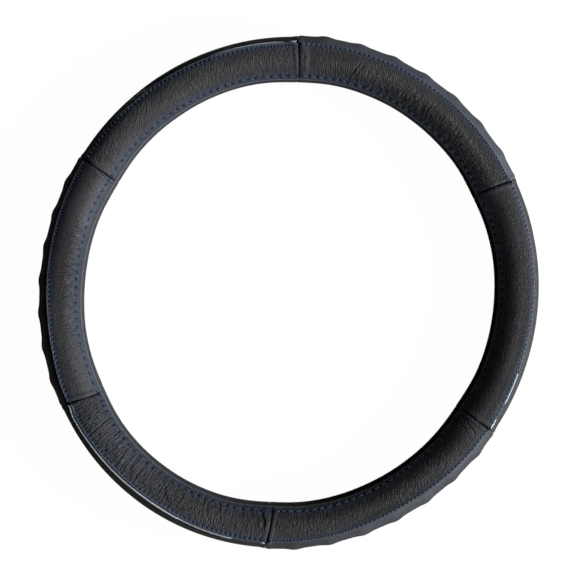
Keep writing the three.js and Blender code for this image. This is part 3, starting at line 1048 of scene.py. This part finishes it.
def leather_finish(name, colour, grain, marks):
    """Black grained leather: pebbles with painted shade in their valleys, uneven tone, and sewing
    marks.
    """
    f = Finish(name)
    cells, depth = grain
    tone = f.remap(f.noise(TONE_SCALE, 4, 0.6), 0.35, 0.65, 0, 1)
    base = f.mix(tone, *(brighter(colour, factor) for factor in TONE_SPREAD))
    pebble = f.cells(cells)
    # Painted shade in the valleys between the pebbles, and in the low parts of the broad patches
    base = f.mix(f.remap(pebble, 0.0, 0.12, 0.45, 0), base, CREASE_SHADE_COLOUR)
    patch = f.noise(PATCH_SCALE, 2, 0.6)
    base = f.mix(f.remap(patch, 0.3, 0.5, 0.55, 0), base, CREASE_SHADE_COLOUR)
    normal = None
    if "tint" in marks:
        normal = f.bump(f.attribute("crown"), 1.0, 1.0)
        base, normal = add_wrinkles(f, base, normal)
        base = f.mix(f.mark("tint", 0.1, 0.9, 0.85), base, TINT_COLOUR)
        # Painted shade in the creases of the wrinkles and folds
        base = f.mix(f.mark("crease", 0.15, 0.9, 0.7), base, CREASE_SHADE_COLOUR)
    # Painted highlight and painted light from the edge mark, and paler hems and patches
    if "edge" in marks:
        base = f.mix(f.mark("edge", 0.05, 1.0, 0.9), base, HIGHLIGHT_AND_PALE_COLOUR)
    # Painted shade in needle holes, pinholes, seams and the stitch groove
    if "hole" in marks:
        base = f.mix(f.mark("hole", 0.2, 0.65), base, HOLE_SHADE_COLOUR)
    gloss = f.remap(f.noise(GLOSS_SCALE, 3, 0.6), 0.3, 0.7, *LEATHER_ROUGHNESS)
    normal = f.bump(f.remap(pebble, 0.0, 0.25, 0, 1), depth, 0.8, normal)
    normal = f.bump(patch, PATCH_DEPTH, 0.7, normal)
    normal = f.bump(f.noise(PORE_SCALE, 2, 0.7), PORE_DEPTH, 0.7, normal)
    f.fill(f.shader, {"Base Color": base, "Roughness": gloss, "Normal": normal})
    f.fill(f.shader, {"Specular IOR Level": LEATHER_SPECULAR})
    return f.material


def simple_finish(name, colours, scale, roughness, bump_scale, bump_depth, sockets):
    """A finish with two mottled colours, uneven gloss, bumps and more sockets."""
    f = Finish(name)
    base = f.mix(f.remap(f.noise(scale, 3, 0.55), 0.35, 0.65, 0, 1), *colours)
    low, high = roughness - GLOSS_SPREAD, roughness + GLOSS_SPREAD
    gloss = f.remap(f.noise(2 * scale, 3, 0.6), 0.3, 0.7, low, high)
    normal = f.bump(f.noise(bump_scale, 3, 0.6), bump_depth, 0.7)
    f.fill(f.shader, {"Base Color": base, "Roughness": gloss, "Normal": normal} | sockets)
    return f.material


def build_cover():
    """All of the cover's pieces, sector by sector."""
    leather = leather_finish("front_grain", LEATHER_COLOUR, FRONT_GRAIN, ("tint", "edge", "hole"))
    grip = leather_finish("grip_grain", GRIP_COLOUR, OUTER_GRAIN, ("edge",))
    pierced = leather_finish("perforated_grain", PERFORATED_COLOUR, OUTER_GRAIN, ("hole",))
    blues = (THREAD_COLOUR, brighter(THREAD_COLOUR, 1.5))
    thread = simple_finish("blue_thread", blues, 900, 0.5, 1700, 0.08, {"Sheen Weight": 0.3})
    pales = (PIPING_COLOUR, PIPING_SHADE)
    film = simple_finish("silver_blue_piping", pales, 60, 0.22, 700, 0.04, {"Coat Weight": 0.5})
    blacks = (RUBBER_COLOUR, RUBBER_DUST)
    rubber = simple_finish("matt_rubber", blacks, 120, 0.7, 1800, 0.05, {})
    rubber_liner(rubber)
    for index in range(len(SEAMS)):
        for side in (1, -1):
            face_panel(index, side, leather)
            thread_row(index, side, True, thread)
            thread_row(index, side, False, thread)
        if index % 2:
            perforated_panel(index, pierced)
            piping_cord(index, film)
        else:
            grip_panel(index, grip)


# Studio: a white floor, wide low windows of light from the right, and the camera overhead, whose
# aim and own place are given in metres from the ring's centre
FLOOR_HALF = 2.0
FLOOR_DROP = 0.0006
FLOOR_GLOW = 0.98
FLOOR_SEEN_SHADE = 0.04
FLOOR_WHITE = 0.35
FLOOR_LINKS = (
    ("Emission", "AddShader", 0), ("seen", "AddShader", 1), ("LightPath", "MixShader", 0),
    ("plain", "MixShader", 1), ("AddShader", "MixShader", 2), ("MixShader", "OutputMaterial", 0),
)
WORLD_FILL = 0.003
WORLD_COLOUR = (1.0, 0.94, 0.88, 1)
LAMP_DISTANCE = 2.6

# Lamps: name, bearing, elevation, size, power and colour
LAMPS = (
    ("window", 90, 26, (1.4, 0.9), 65, (1.0, 0.99, 0.985)),
    ("side_window", 135, 30, (1.4, 0.9), 29, (1.0, 0.99, 0.985)),
    ("low_window", 108, 14, (2.4, 0.6), 11, (0.90, 0.97, 1.12)),
)
CAMERA_HEIGHT = 1.22
VIEW_WIDTH = 0.4427
SENSOR = 36
AIM = (-0.0006, 0.0038)
NADIR = (-0.010, 0.022)


def build_floor():
    """A floor that glows white to the camera, with a trace of shadow, and is plain to the rest."""
    h = FLOOR_HALF
    mesh = bpy.data.meshes.new("floor")
    corners = [(x, y, -FLOOR_DROP) for x, y in ((-h, -h), (h, -h), (h, h), (-h, h))]
    mesh.from_pydata(corners, [], [(0, 1, 2, 3)])
    floor = bpy.data.objects.new("floor", mesh)
    bpy.context.scene.collection.objects.link(floor)
    material = bpy.data.materials.new("pale_floor")
    material.use_nodes = True
    tree = material.node_tree
    tree.nodes.clear()
    kinds = ("OutputMaterial", "LightPath", "Emission", "AddShader", "MixShader")
    nodes = {kind: tree.nodes.new(f"ShaderNode{kind}") for kind in kinds}
    for name, shade in (("seen", FLOOR_SEEN_SHADE), ("plain", FLOOR_WHITE)):
        nodes[name] = tree.nodes.new("ShaderNodeBsdfDiffuse")
        nodes[name].inputs["Color"].default_value = (shade, shade, shade, 1)
    nodes["Emission"].inputs["Strength"].default_value = FLOOR_GLOW
    for source, target, place in FLOOR_LINKS:
        tree.links.new(nodes[source].outputs[0], nodes[target].inputs[place])
    mesh.materials.append(material)


def build_world():
    """White to the camera, and a faint warm fill to the object."""
    world = bpy.data.worlds.new("studio")
    bpy.context.scene.world = world
    world.use_nodes = True
    tree = world.node_tree
    tree.nodes.clear()
    kinds = ("OutputWorld", "LightPath", "MixShader")
    out, path, choose = (tree.nodes.new(f"ShaderNode{kind}") for kind in kinds)
    tree.links.new(path.outputs["Is Camera Ray"], choose.inputs[0])
    for socket, colour, strength in ((1, WORLD_COLOUR, WORLD_FILL), (2, (1, 1, 1, 1), 1.0)):
        light = tree.nodes.new("ShaderNodeBackground")
        light.inputs["Color"].default_value = colour
        light.inputs["Strength"].default_value = strength
        tree.links.new(light.outputs[0], choose.inputs[socket])
    tree.links.new(choose.outputs[0], out.inputs[0])


def add_lamp(name, bearing, elevation, size, power, colour):
    """A rectangular lamp that looks at the ring's centre."""
    turn, rise = math.radians(bearing), math.radians(elevation)
    flat = math.cos(rise)
    place = LAMP_DISTANCE * Vector((math.sin(turn) * flat, math.cos(turn) * flat, math.sin(rise)))
    data = bpy.data.lights.new(name, "AREA")
    data.shape = "RECTANGLE"
    data.size, data.size_y = size
    data.energy = power
    data.color = colour
    lamp = bpy.data.objects.new(name, data)
    lamp.location = place
    lamp.rotation_euler = (-place).to_track_quat("-Z", "Y").to_euler()
    bpy.context.scene.collection.objects.link(lamp)


def build_camera():
    """The camera is nearly overhead, with the photograph's top at the top."""
    data = bpy.data.cameras.new("camera")
    data.sensor_width = SENSOR
    data.lens = SENSOR * CAMERA_HEIGHT / VIEW_WIDTH
    data.clip_end = 20
    camera = bpy.data.objects.new("camera", data)
    equator = CENTRE_HEIGHT * MM
    camera.location = (NADIR[0], NADIR[1], equator + CAMERA_HEIGHT)
    back = (camera.location - Vector((AIM[0], AIM[1], equator))).normalized()
    right = Vector((0, 1, 0)).cross(back).normalized()
    camera.rotation_euler = Matrix((right, back.cross(right), back)).transposed().to_euler()
    bpy.context.scene.collection.objects.link(camera)
    bpy.context.scene.camera = camera


build_cover()
build_floor()
build_world()
for lamp in LAMPS:
    add_lamp(*lamp)
build_camera()
bpy.context.scene.view_settings.view_transform = "Standard"
